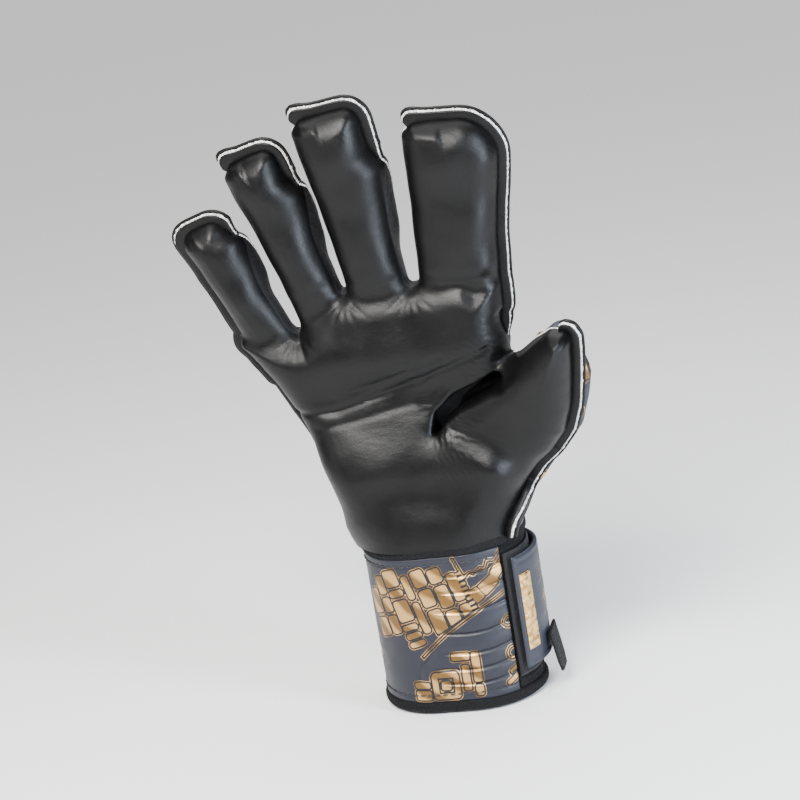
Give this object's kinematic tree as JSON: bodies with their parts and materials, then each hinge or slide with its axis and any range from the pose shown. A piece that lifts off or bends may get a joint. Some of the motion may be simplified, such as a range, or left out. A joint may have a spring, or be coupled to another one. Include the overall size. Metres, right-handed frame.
{
  "type": "goalkeeper glove",
  "caption": "Right-hand goalkeeper glove with padded latex palm, gusseted fingers, printed backhand, padded cuff and a wrap-round closing strap.",
  "frame": {"origin": "centre of the cuff's hem", "axes": "+Z from the hem towards the fingertips, palm facing -Y, thumb towards +X"},
  "size_m": [0.1921, 0.0729, 0.2971],
  "materials": {
    "latex": "smooth black foam latex, satin",
    "back_panel": "slate embossed latex with gold foil print",
    "elastic": "black knitted elastic, matt",
    "cuff_print": "embossed slate panel with gold foil print",
    "foam": "white cut foam edge, matt",
    "lining": "soft knitted lining, matt",
    "hook_loop": "hook and loop fabric, rough",
    "gold": "gold moulded rubber, satin"
  },
  "bodies": {
    "cuff": {"cuff_panel": "cuff_print", "cuff_elastic": "elastic", "cuff_lining": "lining", "cuff_top_binding": "elastic", "cuff_hem_binding": "elastic", "loop_patch": "hook_loop", "strap_anchor": "back_panel"},
    "hand": {"palm_latex": "latex", "backhand_panel": "back_panel", "palm_lining": "lining", "backhand_lining": "lining", "pinky_side_wall": "latex", "index_side_wall": "latex", "thumb_web_gusset": "elastic", "heel_side_wall": "latex", "finger_webs": "elastic", "hand_foam_edge": "foam"},
    "strap_band": {"strap_band": "back_panel"},
    "strap_end": {"strap_end": "back_panel", "strap_badge": "gold", "hook_patch": "hook_loop"},
    "pull_tab": {"pull_tab": "elastic"},
    "pinky_base": {"pinky_palm_base": "latex", "pinky_back_base": "back_panel", "pinky_gussets": "elastic"},
    "pinky_tip": {"pinky_palm_tip": "latex", "pinky_back_tip": "back_panel", "pinky_foam_edge": "foam"},
    "ring_base": {"ring_palm_base": "latex", "ring_back_base": "back_panel", "ring_gussets": "elastic"},
    "ring_tip": {"ring_palm_tip": "latex", "ring_back_tip": "back_panel", "ring_foam_edge": "foam"},
    "middle_base": {"middle_palm_base": "latex", "middle_back_base": "back_panel", "middle_gussets": "elastic"},
    "middle_tip": {"middle_palm_tip": "latex", "middle_back_tip": "back_panel", "middle_foam_edge": "foam"},
    "index_base": {"index_palm_base": "latex", "index_back_base": "back_panel", "index_gussets": "elastic"},
    "index_tip": {"index_palm_tip": "latex", "index_back_tip": "back_panel", "index_foam_edge": "foam"},
    "thumb_base": {"thumb_palm_base": "latex", "thumb_back_base": "back_panel", "thumb_gussets": "elastic"},
    "thumb_tip": {"thumb_palm_tip": "latex", "thumb_back_tip": "back_panel", "thumb_foam_edge": "foam"}
  },
  "joints": [
    {"name": "wrist_bend", "type": "hinge", "parent": "cuff", "child": "hand", "pos_m": [0, 0, 0.09], "axis": [1, 0, 0], "range_deg": [-25, 25], "stiffness_Nm_per_rad": 1.2},
    {"name": "pinky_knuckle", "type": "hinge", "parent": "hand", "child": "pinky_base", "pos_m": [-0.0728, -0.008, 0.2], "axis": [1, 0, 0], "range_deg": [-10, 60], "stiffness_Nm_per_rad": 0.06},
    {"name": "pinky_middle_joint", "type": "hinge", "parent": "pinky_base", "child": "pinky_tip", "pos_m": [-0.08169, -0.00992, 0.22192], "axis": [1, 0, 0], "range_deg": [0, 75], "stiffness_Nm_per_rad": 0.03},
    {"name": "ring_knuckle", "type": "hinge", "parent": "hand", "child": "ring_base", "pos_m": [-0.0437, -0.008, 0.215], "axis": [1, 0, 0], "range_deg": [-10, 60], "stiffness_Nm_per_rad": 0.06},
    {"name": "ring_middle_joint", "type": "hinge", "parent": "ring_base", "child": "ring_tip", "pos_m": [-0.05091, -0.01027, 0.2409], "axis": [1, 0, 0], "range_deg": [0, 58], "stiffness_Nm_per_rad": 0.03},
    {"name": "middle_knuckle", "type": "hinge", "parent": "hand", "child": "middle_base", "pos_m": [-0.0121, -0.008, 0.216], "axis": [1, 0, 0], "range_deg": [-10, 60], "stiffness_Nm_per_rad": 0.06},
    {"name": "middle_middle_joint", "type": "hinge", "parent": "middle_base", "child": "middle_tip", "pos_m": [-0.01554, -0.01044, 0.24389], "axis": [1, 0, 0], "range_deg": [0, 75], "stiffness_Nm_per_rad": 0.03},
    {"name": "index_knuckle", "type": "hinge", "parent": "hand", "child": "index_base", "pos_m": [0.0295, -0.008, 0.216], "axis": [1, 0, 0], "range_deg": [-10, 60], "stiffness_Nm_per_rad": 0.06},
    {"name": "index_middle_joint", "type": "hinge", "parent": "index_base", "child": "index_tip", "pos_m": [0.03139, -0.01035, 0.2429], "axis": [1, 0, 0], "range_deg": [0, 75], "stiffness_Nm_per_rad": 0.03},
    {"name": "thumb_root", "type": "hinge", "parent": "hand", "child": "thumb_base", "pos_m": [0.0313, -0.013, 0.1168], "axis": [0.788, 0, -0.6157], "range_deg": [-15, 45], "stiffness_Nm_per_rad": 0.06},
    {"name": "thumb_middle_joint", "type": "hinge", "parent": "thumb_base", "child": "thumb_tip", "pos_m": [0.04715, -0.01662, 0.13709], "axis": [0.788, 0, -0.6157], "range_deg": [0, 60], "stiffness_Nm_per_rad": 0.03},
    {"name": "strap_unwrap", "type": "hinge", "parent": "cuff", "child": "strap_band", "pos_m": [-0.03345, 0.02532, 0.044], "axis": [0, 0, 1], "range_deg": [0, 80]},
    {"name": "strap_end_peel", "type": "hinge", "parent": "strap_band", "child": "strap_end", "pos_m": [0.02247, 0.03252, 0.044], "axis": [0, 0, 1], "range_deg": [0, 100]},
    {"name": "pull_tab_flex", "type": "hinge", "parent": "strap_end", "child": "pull_tab", "pos_m": [0.0455, 0, 0.028], "axis": [0, -1, 0], "range_deg": [-10, 60], "stiffness_Nm_per_rad": 0.005}
  ]
}
